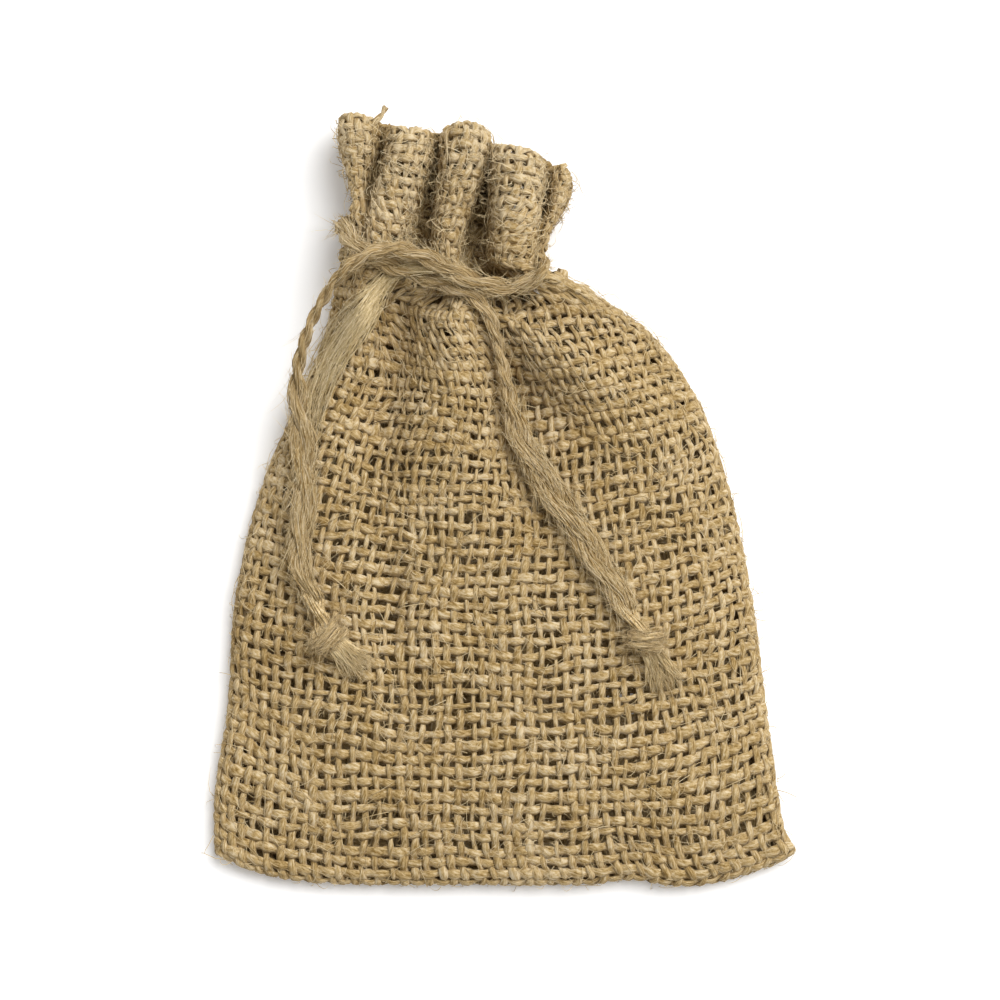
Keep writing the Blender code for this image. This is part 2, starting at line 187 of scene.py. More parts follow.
# How the cord's body changes from its left knot to its right one: it is slack and flattened where it
# hangs and tight round the neck.
# share of the length, half width, half height, millimetres of cord for a full turn of its twist
CORD_BODY = np.array((
    (0.00, 1.9, 1.2, 14), (0.05, 2.3, 1.1, 18), (0.12, 2.4, 1.1, 24), (0.155, 1.6, 1.1, 14),
    (0.18, 1.1, 1, 8), (0.24, 1.05, 1, 8), (0.28, 1.4, 1.05, 9), (0.33, 1.8, 1.2, 12),
    (0.38, 1.7, 1.2, 12), (0.42, 1.2, 1.1, 11), (0.50, 1.1, 1.1, 9), (0.58, 1.3, 1.1, 9),
    (0.62, 1.8, 1.2, 11), (0.68, 1.8, 1.2, 11), (0.76, 1.35, 1.1, 10), (0.79, 1, 1, 8),
    (0.82, 1.2, 1, 9), (0.85, 2.1, 1.1, 16), (0.89, 2.9, 1.1, 28), (0.97, 2.6, 1.1, 22),
    (1.00, 2.2, 1.1, 18),
))

# One ply of the left end has come loose and lies in an open fan on the cloth, right of the other.
# x, y, least z, half width
LOOSE_PLY = np.array((
    (-11.5, 39, 20, 1), (-15.2, 39.2, 19.2, 1.2), (-18.6, 38.4, 17.6, 1.4), (-21.2, 36, 15, 1.9),
    (-23.6, 32.6, 12, 2.6), (-26.8, 28.4, 11, 3.2), (-30, 23.6, 10, 3.4), (-32.4, 18, 9, 3),
    (-33.8, 12, 9, 2.4), (-34.4, 5, 9, 1.8),
))

# The yarn end that sticks out of the hem, and one dark fibre, which is laid on the front at its height.
# x, y, z
YARN_END = np.array(((-23.6, 62.6, 12), (-22.4, 64.2, 11.6), (-21.2, 65.6, 10.6), (-20.5, 66.9, 9.8)))
DARK_FIBRE = np.array(((-23.4, 12.1, 17), (-21, 12.8, 17), (-18.9, 13, 17), (-16.9, 14.9, 17)))

# The knots: middle x and y, the way their wraps run, the way the tuft points, and its length.
KNOTS = {
    "knot_left": ((-30.4, -24.4), (0.62, 0.78), (0.72, -0.69), 7.6),
    "knot_right": ((24.4, -25.0), (1.0, 0.06), (0.46, -0.89), 8.4),
}

# The half width and height of the cord in a knot's wraps, the millimetres for a turn of its twist there, and
# the half length, half height and half breadth of the wraps' coil.
WRAP_WIDTH, WRAP_HEIGHT, KNOT_TWIST = 1.15, 0.95, 16.0
COIL_LENGTH, COIL_HEIGHT, COIL_BREADTH = 2.35, 1.35, 1.5

# Dry jute, each as the colours of its dark, middle and light fibres.
YARN = ((0.20, 0.118, 0.028), (0.45, 0.314, 0.136), (0.65, 0.53, 0.34))
HAIR = ((0.35, 0.23, 0.08), (0.63, 0.48, 0.25), (0.87, 0.75, 0.51))
CORD = ((0.225, 0.14, 0.042), YARN[1], YARN[2])
FAN = ((0.36, 0.25, 0.09), (0.62, 0.48, 0.25), (0.86, 0.74, 0.50))
TUFT = ((0.34, 0.22, 0.075), (0.62, 0.47, 0.24), (0.86, 0.73, 0.47))
KNOT = ((0.28, 0.18, 0.06), (0.56, 0.41, 0.20), (0.78, 0.64, 0.40))
DARK_JUTE = ((0.02, 0.012, 0.005), (0.05, 0.03, 0.012), (0.10, 0.06, 0.03))

# The weave: the power that flattens the top of a yarn's wave, how much wider the back's yarns are than the
# front's, by how much of their width all yarns are wider above the cord, the shortest and longest waves in
# which a yarn wanders and in which it swells, and how far apart the warps lie where nothing crowds them.
FLAT_TOP = 0.8
BACK_WARP, BACK_WEFT = 1.52, 1.46
MOUTH_EXTRA = 0.14
WANDER, SWELLING = (9.0, 26.0), (7.0, 40.0)
WARP_PITCH = 2.05

# Loose fibres on the cloth: the share of them that is put near the mouth, the share of the cloth's height
# that those keep to, and how far fibres may stand out past the sides.
MOUTH_SHARE, MOUTH_REACH, PAST_SIDE = 0.28, 0.17, 1.4

# The side seams: the radius of the yarns that turn round each other, how far they lie from each other's
# middle, and the length of a turn; then the radius of the turned-in yarns, how deep in they lie, and where.
ROPE_RADIUS, ROPE_OUT, ROPE_TURN = 0.48, 0.42, 7.0
EDGE_RADIUS, EDGE_DEPTH, EDGE_PLACES = 0.58, 1.15, (0.009, 0.021, 0.033)

# The UV square: what stays free at each end of a strip and below and above it, and where in a strip's free
# end a tube's flat cap lies, with its radius.
STRIP_END, STRIP_EDGE = 0.02, 0.04
CAP_PLACE, CAP_RADIUS = 0.0075, 0.006

# The look of jute. Its streaks turn so much over a strip's width and with each millimetre, and are this fine
# along and across. The slow noise is this fine along. The streaks and the noise over the bag change the
# colour by so much, and so do painted shade in the hollows between the gathers and painted light on their
# ridges, at these heights, above these places up the bag in metres.
STREAK_TURNS, STREAK_FINE = (3.4, 0.14), (0.55, 3.0)
SLOW_FINE = 0.12
STREAK_CHANGE, BAG_CHANGE = 2.8, 0.35
GATHERS_FROM, RIDGE_FROM, RIDGE_PAINTED_SHADE_AND_LIGHT = (0.040, 0.050), (0.006, 0.015), (-0.16, 0.15)


def smoothstep(x):
    """0 up to 0, 1 from 1 on, and a smooth cubic between."""
    x = np.clip(x, 0.0, 1.0)
    return x * x * (3.0 - 2.0 * x)


def hermite(u, start, end, slope_in, slope_out):
    """A cubic from start to end with these slopes, as u goes from 0 to 1."""
    u2, u3 = u * u, u * u * u
    return ((2 * u3 - 3 * u2 + 1) * start + (u3 - 2 * u2 + u) * slope_in
            + (3 * u2 - 2 * u3) * end + (u3 - u2) * slope_out)


def station(cloth, column):
    """A column of STATIONS at any height up the cloth, on a cubic through its rows."""
    knots, values = STATIONS[:, 0], STATIONS[:, column]
    slopes = np.gradient(values, knots)
    i = np.clip(np.searchsorted(knots, cloth) - 1, 0, len(knots) - 2)
    step = knots[i + 1] - knots[i]
    share = (cloth - knots[i]) / step
    return hermite(share, values[i], values[i + 1], slopes[i] * step, slopes[i + 1] * step)


def turned(along, radius):
    """Cloth that turns round an edge: how far in it has come, and its rise as a share of the radius."""
    angle = np.minimum(along / radius, math.pi / 2)
    return radius * (1 - np.cos(angle)) + np.maximum(along - radius * math.pi / 2, 0.0), np.sin(angle)


def gathered(index, column, fullness=None):
    """A column of GATHERS round the closed ring of folds, at a fractional row index.

    fullness is the column that scales the slopes at each row: the fuller a fold, the rounder its crest.
    """
    count = len(GATHERS)
    values = GATHERS[:, column]
    slopes = (np.roll(values, -1) - np.roll(values, 1)) / 2
    if fullness:
        slopes = slopes * GATHERS[:, fullness]
    i = np.floor(index).astype(int) % count
    j = (i + 1) % count
    return hermite(index - np.floor(index), values[i], values[j], slopes[i], slopes[j])


def gather_index(around):
    """The row index of GATHERS that lies at a share of the way round the cloth, by equal lengths of it."""
    count = len(GATHERS)
    fine = np.linspace(0.0, count, count * 40 + 1)
    x = 0.5 * (gathered(fine, 0, 5) + gathered(fine, 2, 6))
    z = 0.5 * (gathered(fine, 1) + gathered(fine, 3))
    length = np.concatenate(([0.0], np.cumsum(np.hypot(np.diff(x), np.diff(z)))))
    half = FRONT_GATHERS * 40
    share = np.where(fine <= FRONT_GATHERS, 0.5 * length / length[half],
                     0.5 + 0.5 * (length - length[half]) / (length[-1] - length[half]))
    return np.interp(around, share, fine)


def fold_height(x, y, table):
    """How far the folds in a table lift the cloth at a place in plan.

    A fold is a bell across its line. Along it, it grows over the first part and fades to its lower end.
    """
    lift = np.zeros_like(x)
    for x0, y0, x1, y1, height, width0, width1, strength in table:
        run_x, run_y = x1 - x0, y1 - y0
        length = math.hypot(run_x, run_y)
        down = ((x - x0) * run_x + (y - y0) * run_y) / length**2
        aside = ((x - x0) * run_y - (y - y0) * run_x) / length
        width = width0 + (width1 - width0) * np.clip(down, 0.0, 1.0)
        begin = strength + (1 - strength) * smoothstep(down / 0.4)
        lift += height * begin * (1 - smoothstep(down)) * np.exp(-((aside / width) ** 2))
    return lift


def body_point(around, cloth):
    """The outer face below the cord. around runs once round the bag, from its left side over the front."""
    front = around <= 0.5
    across = np.where(front, 2 * around, 2 - 2 * around)
    left, right = station(cloth, 1), station(cloth, 4)
    width = right - left
    in_from_side = np.minimum(across, 1 - across) * (width + 2 * SIDE_RADIUS * (math.pi / 2 - 1))
    inward, side_rise = turned(in_from_side, SIDE_RADIUS)
    place = np.where(across < 0.5, inward, width - inward) / width
    up_cloth, bottom_rise = turned(cloth, SIDE_RADIUS)

    tie = smoothstep((cloth - SHOULDER_CLOTH) / (TIE_CLOTH - SHOULDER_CLOTH))
    index = gather_index(around)
    tie_left, tie_right = STATIONS[-1, 1], STATIONS[-1, 4]
    tie_place = (gathered(index, 0, 5) - tie_left) / (tie_right - tie_left)
    place = place + (tie_place - place) * tie
    swell, swell_cloth, swell_height = CORNER_SWELL
    lobe = np.exp(-(((cloth - swell_cloth) / swell_height) ** 2)) * smoothstep((place - 0.95) / 0.05)
    x = left + width * place + swell * lobe

    ends = np.abs(2 * np.clip(place, 0.0, 1.0) - 1) ** station(cloth, 7)
    ends_y = np.where(place < 0.5, station(up_cloth, 2), station(up_cloth, 5))
    y = station(up_cloth, 3) * (1 - ends) + ends_y * ends
    for middle, stands_in, half_width in BOTTOM_WAVES:
        wave = np.exp(-(((place - middle) / half_width) ** 2))
        y += stands_in * wave * (1 - smoothstep(cloth / WAVE_REACH))

    rise = SIDE_RADIUS * side_rise * bottom_rise
    dome = 1 - np.abs(2 * across - 1) ** DOME_POWER
    inside = smoothstep(in_from_side / EDGE_FLAT) * smoothstep(cloth / EDGE_FLAT)
    lift = station(cloth, 6) * dome + fold_height(x, y, FOLDS) * inside
    behind = fold_height(x, y, BACK_FOLDS) * inside
    z = np.where(front, SIDE_RADIUS + rise + lift, SIDE_RADIUS - rise + behind)
    pinch = smoothstep((cloth - PINCH_CLOTH) / (TIE_CLOTH - PINCH_CLOTH))
    return x, y, z + (gathered(index, 1) - z) * pinch


def ruffle_point(around, cloth):
    """The outer face above the cord, where the gathers spread towards the hem."""
    index = gather_index(around)
    share = (cloth - TIE_CLOTH) / (CLOTH_HEIGHT - TIE_CLOTH)
    tie_x, tie_z = gathered(index, 0, 5), gathered(index, 1)
    x = tie_x + (gathered(index, 2, 6) - tie_x) * smoothstep(share)
    z = tie_z + (gathered(index, 3) - tie_z) * smoothstep(share / 0.8)
    return x, tie_y(tie_x) + (gathered(index, 4) - tie_y(tie_x)) * share, z


def tie_y(x):
    """The line that the cord draws across the neck, higher on the left."""
    left_x, left_y, right_x, right_y = STATIONS[-1, [1, 2, 4, 5]]
    return left_y + (right_y - left_y) * (x - left_x) / (right_x - left_x)


def cloth_point(around, cloth):
    """The outer face at a share of the way round the bag and a height up the cloth."""
    below = body_point(around, np.minimum(cloth, TIE_CLOTH))
    above = ruffle_point(around, np.maximum(cloth, TIE_CLOTH))
    return np.stack([np.where(cloth <= TIE_CLOTH, b, a) for b, a in zip(below, above)], axis=-1)


def unit(v):
    """Vectors at length 1."""
    return v / np.maximum(np.linalg.norm(v, axis=-1, keepdims=True), 1e-9)


class Cloth:
    """The cloth's middle surface as a map from the flat strip, which is folded at the bottom.

    across goes from 0 at the left side to 1 at the right side, by equal lengths of cloth in each row.
    along is in millimetres from the bottom fold: the front is above 0 and the back below. Past
    CLOTH_HEIGHT the hem turns in over itself.
    """

    STEP = 0.5
    COLUMNS = 481

    def __init__(self, hem):
        cloth = np.arange(0.0, CLOTH_HEIGHT + 0.1, self.STEP)
        place = np.linspace(0.0, 1.0, self.COLUMNS)
        a, c = np.meshgrid(place, cloth)
        front = self._even(cloth_point(0.5 * a, c))
        back = self._even(cloth_point(1.0 - 0.5 * a, c))
        face = np.concatenate([back[:0:-1], front])
        normal = unit(np.cross(np.gradient(face, axis=1), np.gradient(face, axis=0)))
        middle = face - CLOTH_DEPTH * normal
        up = unit(middle[-1] - middle[-3])
        down = unit(middle[0] - middle[2])
        extra = np.arange(self.STEP, hem + 0.1, self.STEP)
        front_hem = [self._turned_in(middle[::-1], normal[::-1], up, e) for e in extra]
        back_hem = [self._turned_in(middle, normal, down, e) for e in extra]
        self.hem = extra[-1]
        middle = np.concatenate([[p for p, _ in back_hem[::-1]], middle, [p for p, _ in front_hem]])
        normal = np.concatenate([[n for _, n in back_hem[::-1]], normal, [n for _, n in front_hem]])
        self.start = -(CLOTH_HEIGHT + self.hem)
        width = np.linalg.norm(np.gradient(middle, axis=1), axis=2) * (self.COLUMNS - 1)
        height = np.linalg.norm(np.gradient(middle, axis=0), axis=2) / self.STEP
        self.grid = np.concatenate([middle, normal, width[..., None], height[..., None]], axis=2)

    @staticmethod
    def _even(rows):
        """Each row of points again, spaced by equal lengths along it."""
        length = np.linalg.norm(np.diff(rows, axis=1), axis=2)
        length = np.concatenate([np.zeros((len(rows), 1)), np.cumsum(length, axis=1)], axis=1)
        even = np.linspace(0.0, 1.0, rows.shape[1])
        out = np.empty_like(rows)
        for i, row in enumerate(rows):
            share = length[i] / length[i, -1]
            for k in range(3):
                out[i, :, k] = np.interp(even, share, row[:, k])
        return out

    def _turned_in(self, middle, normal, up, extra):
        """A row of the hem, that far past the edge: round a tight turn, then back down inside."""
        if extra < math.pi * HEM_TURN:
            angle = extra / HEM_TURN
            turned_up = up * HEM_TURN * math.sin(angle)
            place = middle[0] + turned_up - normal[0] * HEM_TURN * (1 - math.cos(angle))
            return place, unit(normal[0] * math.cos(angle) + up * math.sin(angle))
        back = int(round((extra - math.pi * HEM_TURN) / self.STEP))
        return middle[back] - normal[back] * 2 * HEM_TURN, -normal[back]

    def at(self, across, along):
        """Place, outward normal, width of cloth across and stretch along, for arrays of places."""
        rows, columns = self.grid.shape[:2]
        i = np.clip((along - self.start) / self.STEP, 0, rows - 1.001)
        j = np.clip(across * (columns - 1), 0, columns - 1.001)
        i0, j0 = i.astype(int), j.astype(int)
        u, v = (i - i0)[..., None], (j - j0)[..., None]
        g = self.grid
        found = ((g[i0, j0] * (1 - v) + g[i0, j0 + 1] * v) * (1 - u)
                 + (g[i0 + 1, j0] * (1 - v) + g[i0 + 1, j0 + 1] * v) * u)
        return found[..., :3], unit(found[..., 3:6]), found[..., 6], found[..., 7]


def waves(rng, count, places, lengths, terms=3):
    """For each of count yarns, a slow random wave along places, about from -1 to 1."""
    total = np.zeros((count, len(places)))
    for _ in range(terms):
        length = rng.uniform(*lengths, (count, 1))
        total += np.sin(math.tau * (places[None] / length + rng.random((count, 1))))
    return total / math.sqrt(terms)


def drift(across, along, seed):
    """A gentle shift that neighbouring yarns share, about from -1 to 1, over the flat strip."""
    rng = np.random.default_rng(seed)
    total = np.zeros(np.broadcast(across, along).shape)
    for _ in range(5):
        kx, ky = rng.uniform(-6.0, 6.0), rng.uniform(-0.045, 0.045)
        total += np.sin(math.tau * (kx * across + ky * along + rng.random()))
    return total / math.sqrt(5)


def plateau(across):
    """0 at the two sides of the cloth and 1 between them."""
    return smoothstep(14 * across) * smoothstep(14 - 14 * across)


def at_mouth(along):
    """1 in the gathers above the cord and 0 below it."""
    return smoothstep((np.abs(along) - TIE_CLOTH) / 6.0)


def mesh_of(name, vertices, loops, starts, uv):
    """A smooth mesh from flat lists: places, the vertex of each corner, each face's start, and the UV map."""
    mesh = bpy.data.meshes.new(name)
    mesh.vertices.add(len(vertices) // 3)
    mesh.vertices.foreach_set("co", vertices.astype(np.float32))
    mesh.loops.add(len(loops))
    mesh.loops.foreach_set("vertex_index", loops.astype(np.int32))
    mesh.polygons.add(len(starts))
    mesh.polygons.foreach_set("loop_start", starts.astype(np.int32))
    mesh.update(calc_edges=True)
    mesh.uv_layers.new(name="OFBake").data.foreach_set("uv", uv.astype(np.float32))
    mesh.shade_smooth()
    return mesh


def tubes(name, centre, normal, half_width, half_height, sides, closed=False):
    """Tubes of oval section, one for each row of centre, all in one mesh with one strip of UV each.

    centre and normal are (tubes, points, 3). The section's height is along the normal and its width is
    across the tube. A closed tube joins its own start, and an open one has a flat cap at each end. What
    would reach below the surface that the bag lies on is pressed flat on it.
    """
    count, points = centre.shape[:2]
    if closed:
        tangent = np.roll(centre, -1, axis=1) - np.roll(centre, 1, axis=1)
    else:
        tangent = np.gradient(centre, axis=1)
    tangent = unit(tangent)
    side = unit(np.cross(tangent, normal))
    up = np.cross(side, tangent)
    turn = math.tau * np.arange(sides) / sides
    ring = (centre[:, :, None] + side[:, :, None] * (half_width[..., None] * np.cos(turn))[..., None]
            + up[:, :, None] * (half_height[..., None] * np.sin(turn))[..., None])
    ring[..., 2] = np.maximum(ring[..., 2], 0.0)
    spans = points if closed else points - 1
    t, p, k = np.meshgrid(np.arange(count), np.arange(spans), np.arange(sides), indexing="ij")
    p1, k1 = (p + 1) % points, (k + 1) % sides
    base = t * points * sides
    quads = np.stack([base + p * sides + k, base + p * sides + k1,
                      base + p1 * sides + k1, base + p1 * sides + k], axis=-1).reshape(-1, 4)
    u0, u1 = (STRIP_END + (1 - 2 * STRIP_END) * i / spans for i in (p, p + 1))
    v0, v1 = ((t + STRIP_EDGE + (1 - 2 * STRIP_EDGE) * i / sides) / count for i in (k, k + 1))
    uv = np.stack([np.stack([u0, v0], -1), np.stack([u0, v1], -1),
                   np.stack([u1, v1], -1), np.stack([u1, v0], -1)], axis=-2).reshape(-1, 2)
    loops, starts = quads.reshape(-1), np.arange(len(quads)) * 4
    if not closed:
        first = np.arange(count)[:, None] * points * sides + np.arange(sides)[None, ::-1]
        last = (np.arange(count)[:, None] * points + points - 1) * sides + np.arange(sides)[None]
        caps = np.concatenate([first, last])
        starts = np.concatenate([starts, len(loops) + np.arange(len(caps)) * sides])
        loops = np.concatenate([loops, caps.reshape(-1)])
        strip = np.tile(np.arange(count), 2)[:, None]
        middle = np.repeat([CAP_PLACE, 1 - CAP_PLACE], count)[:, None]
        around = np.concatenate([np.tile(turn[::-1], (count, 1)), np.tile(turn, (count, 1))])
        cap_v = (strip + 0.5 + 0.4 * np.sin(around)) / count
        cap_uv = np.stack([middle + CAP_RADIUS * np.cos(around), cap_v], -1)
        uv = np.concatenate([uv, cap_uv.reshape(-1, 2)])
    return mesh_of(name, (ring * MM).reshape(-1), loops, starts, uv.reshape(-1))


def joined(name, meshes):
    """One mesh from several, each with its own share of the height of the UV square."""

    def values(items, key, size, kind):
        found = np.empty(len(items) * size, kind)
        items.foreach_get(key, found)
        return found

    faces = np.array([len(m.polygons) for m in meshes], float)
    edges = np.concatenate(([0.0], np.cumsum(faces / faces.sum())))
    vertices, loops, starts, uvs = [], [], [], []
    vertex_offset = loop_offset = 0
    for low, high, m in zip(edges, edges[1:], meshes):
        uv = values(m.uv_layers["OFBake"].data, "uv", 2, np.float32)
        uv[1::2] = low + uv[1::2] * (high - low)
        uvs.append(uv)
        vertices.append(values(m.vertices, "co", 3, np.float32))
        loops.append(values(m.loops, "vertex_index", 1, np.int32) + vertex_offset)
        starts.append(values(m.polygons, "loop_start", 1, np.int32) + loop_offset)
        vertex_offset += len(m.vertices)
        loop_offset += len(m.loops)
    for m in meshes:
        bpy.data.meshes.remove(m)
    return mesh_of(name, *(np.concatenate(lists) for lists in (vertices, loops, starts, uvs)))


def piece(name, mesh, material):
    """The mesh as an object of the bag, which rides on the bag's body and has the given material."""
    obj = bpy.data.objects.new(name, mesh)
    bpy.context.scene.collection.objects.link(obj)
    mesh.materials.append(material)
    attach(obj, sorted(frame["bodies"])[0])
    return obj


def jute_material(name, strips, length, colours, change=0.8, bump=0.35):
    """Jute: fine fibres that run along each strip of the UV map with a slight twist.

    The colour goes from dark over middle to light, by the sum of a streaky noise along the fibres, a slow
    one along each of the strips, and one over the whole bag. Above the cord, painted light makes it paler on
    the ridges and painted shade makes it darker between them. The streaky noise gives a fine relief too.
    strips is how many there are on the map and length how long they are, in millimetres; change is how
    much the strips differ.
    """
    material = bpy.data.materials.new(name)
    material.use_nodes = True
    nodes, links = material.node_tree.nodes, material.node_tree.links
    shader = nodes["Principled BSDF"]
    for socket, value in (("Roughness", 0.82), ("Specular IOR Level", 0.18), ("Sheen Weight", 0.05),
                          ("Sheen Roughness", 0.6)):
        shader.inputs[socket].default_value = value

    def made(kind, inputs, **settings):
        """A node's first output, with numbers set on its inputs and other nodes' outputs linked to them."""
        node = nodes.new(kind)
        for key, value in settings.items():
            setattr(node, key, value)
        for socket, value in inputs.items():
            if isinstance(value, (int, float)):
                node.inputs[socket].default_value = value
            else:
                links.new(value, node.inputs[socket])
        return node.outputs[0]

    def math_node(kind, a, b=0.0):
        return made("ShaderNodeMath", {0: a, 1: b}, operation=kind)

    def times(a, b):
        return math_node("MULTIPLY", a, b)

    def place(x, y, z=0.0):
        return made("ShaderNodeCombineXYZ", {0: x, 1: y, 2: z})

    def noise(vector, scale, detail, roughness=0.6):
        """Noise about 0."""
        return math_node("SUBTRACT", made("ShaderNodeTexNoise", {
            "Vector": vector, "Scale": scale, "Detail": detail, "Roughness": roughness}), 0.5)

    def rising(value, start, end, low, high):
        return made("ShaderNodeMapRange", {"Value": value, "From Min": start, "From Max": end, "To Min": low,
                                           "To Max": high}, interpolation_type="SMOOTHSTEP")

    def split(vector):
        node = nodes.new("ShaderNodeSeparateXYZ")
        links.new(vector, node.inputs[0])
        return node.outputs

    u, v, _ = split(made("ShaderNodeUVMap", {}, uv_map="OFBake"))
    along, strip = times(u, length), times(v, strips)
    number = math_node("FLOOR", strip)
    over_width, with_length = STREAK_TURNS
    twisted = math_node("ADD", times(math_node("FRACT", strip), over_width), times(along, with_length))
    fine_along, fine_across = STREAK_FINE
    streak_place = place(times(along, fine_along), times(twisted, fine_across), times(number, 5.37))
    streaks = noise(streak_place, scale=1.3, detail=5.0, roughness=0.75)
    yarn = noise(place(times(along, SLOW_FINE), times(number, 3.71)), scale=1.0, detail=2.0)
    spot = nodes.new("ShaderNodeTexCoord").outputs["Object"]
    cloth = noise(spot, scale=60.0, detail=3.0)
    _, up_bag, height = split(spot)
    # Painted shade darkens the hollows between the gathers above the cord, and painted light brightens their
    # ridges.
    gathers = times(rising(up_bag, *GATHERS_FROM, 0.0, 1.0), rising(height, *RIDGE_FROM, *RIDGE_PAINTED_SHADE_AND_LIGHT))
    mixed = math_node("ADD", times(streaks, STREAK_CHANGE), times(yarn, change))
    for more in (times(cloth, BAG_CHANGE), gathers, 0.5):
        mixed = math_node("ADD", mixed, more)

    ramp = nodes.new("ShaderNodeValToRGB")
    elements = ramp.color_ramp.elements
    elements[0].position, elements[1].position = 0.12, 0.88
    for element, colour in zip((elements[0], elements.new(0.5), elements[-1]), colours):
        element.color = (*colour, 1.0)
    links.new(mixed, ramp.inputs[0])
    links.new(ramp.outputs[0], shader.inputs["Base Color"])
    relief = made("ShaderNodeBump", {"Height": streaks, "Strength": bump, "Distance": 0.00035})
    links.new(relief, shader.inputs["Normal"])
    return material


def number_of(name, description, default):
    return bpy.props.IntProperty(name=name, description=description, default=default)


def size_of(name, description, default):
    return bpy.props.FloatProperty(name=name, description=description, default=default, unit="LENGTH")


def strength_of(name, description, default):
    return bpy.props.FloatProperty(name=name, description=description, default=default)


def colour_of(name, description, default):
    return bpy.props.FloatVectorProperty(name=name, description=description, default=default, size=3,
                                         min=0.0, max=1.0, subtype="COLOR")


class ClothSettings(bpy.types.PropertyGroup):
    warps: number_of("Warps", "Yarns up each face of the bag", 49)
    rows: number_of("Rows", "Yarns across each face up to the hem", 60)
    hem: size_of("Hem", "Cloth turned in at the mouth", 0.0085)
    crimp: size_of("Crimp", "How far a yarn rises and dips over the others", 0.00035)
    warp_width: size_of("Warp width", "Width of a yarn that runs up", 0.00127)
    weft_width: size_of("Weft width", "Width of a yarn that runs across", 0.00155)
    yarn_height: size_of("Yarn thickness", "Thickness of a yarn", 0.00074)
    hairs: number_of("Hairs", "Loose fibres on the cloth", 3800)
    fuzz: number_of("Fuzz", "Short fibres between the yarns", 11200)
    yarn_dark: colour_of("Dark yarn", "Colour of the darkest fibres of the yarns", YARN[0])
    yarn_middle: colour_of("Yarn", "Colour of most fibres of the yarns", YARN[1])
    yarn_light: colour_of("Light yarn", "Colour of the lightest fibres of the yarns", YARN[2])
    hair_dark: colour_of("Dark hairs", "Colour of the darkest hairs", HAIR[0])
    hair_middle: colour_of("Hairs", "Colour of most hairs", HAIR[1])
    hair_light: colour_of("Light hairs", "Colour of the lightest hairs", HAIR[2])


class CordSettings(bpy.types.PropertyGroup):
    strands: number_of("Strands", "Fibre bundles in each ply", 28)
    strand_width: size_of("Strand width", "Width of a fibre bundle", 0.00025)
    hairs: number_of("Hairs", "Loose fibres on the cord", 3400)
    tuft: number_of("Tuft", "Fibres in each frayed end", 150)
    fan: number_of("Fan", "Fibres in the cord's loose ply", 150)
    cord_dark: colour_of("Dark cord", "Colour of the cord's darkest fibres", CORD[0])
    cord_middle: colour_of("Cord", "Colour of most of the cord's fibres", CORD[1])
    cord_light: colour_of("Light cord", "Colour of the cord's lightest fibres", CORD[2])


class StageSettings(bpy.types.PropertyGroup):
    height: size_of("Camera height", "Height of the camera over the floor", 2.0)
    view: size_of("View width", "Width of the picture on the floor", 0.1735)
    sun: strength_of("Sun", "Strength of the key light", 3.3)
    sky: strength_of("Sky", "Strength of the light from all round", 0.42)


def flat_topped(wave):
    """A yarn's wave over and under the others, flatter on top than a sine."""
    return np.sign(wave) * np.abs(wave) ** FLAT_TOP


def uneven(rng, count, places, own, slow):
    """How thick each yarn is along it, as a share: its own random amount, and slow waves."""
    return 1 + own * rng.normal(size=(count, 1)) + slow * waves(rng, count, places, SWELLING)


def woven_warps(cloth, settings):
    """The yarns that run up the cloth, over and under the rows, from the back hem to the front hem.

    Each is a line of constant place across the strip, moved a little by the shared drift and by its own
    wander. Its height over the middle surface is the crimp times a flattened sine with a half wave for
    each row.
    """
    rng = np.random.default_rng(11)
    pitch = CLOTH_HEIGHT / settings.rows
    end = CLOTH_HEIGHT + cloth.hem - 0.6
    along = np.concatenate([np.arange(-end, -2 * pitch, pitch / 2), np.arange(-2 * pitch, end, pitch / 4)])
    number = np.arange(settings.warps)[:, None]
    across = (number + 0.5 + 0.10 * rng.normal(size=(settings.warps, 1))) / settings.warps
    across = across + (0.11 * waves(rng, settings.warps, along, WANDER)
                       + 0.22 * drift(across, np.abs(along[None]), 5)
                       + 0.5 * smoothstep(-along / 8.0) * plateau(across)) / settings.warps
    place, normal, width, _ = cloth.at(across, np.broadcast_to(along, across.shape))
    lag = 0.5 * smoothstep(-along / 6.0) * plateau(across)
    over = flat_topped(np.sin(math.pi * (along[None] / pitch + lag + number)))
    centre = place + normal * (over * settings.crimp / MM)[..., None]
    crowding = np.clip(width / settings.warps / WARP_PITCH, 0.25, 1.15) ** 0.75
    thick = uneven(rng, settings.warps, along, 0.15, 0.13)
    half_width = 0.5 * settings.warp_width / MM * crowding * np.clip(thick, 0.6, 1.5)
    half_width = half_width * (0.90 + 0.20 * np.abs(over)) * (1 + MOUTH_EXTRA * at_mouth(along[None]))
    half_width = half_width * np.where(along[None] < 0.0, BACK_WARP, 1.0)
    half_height = 0.5 * settings.yarn_height / MM * crowding**0.5 * np.clip(thick, 0.75, 1.25)
    return tubes("warps", centre, normal, half_width, half_height, 5)


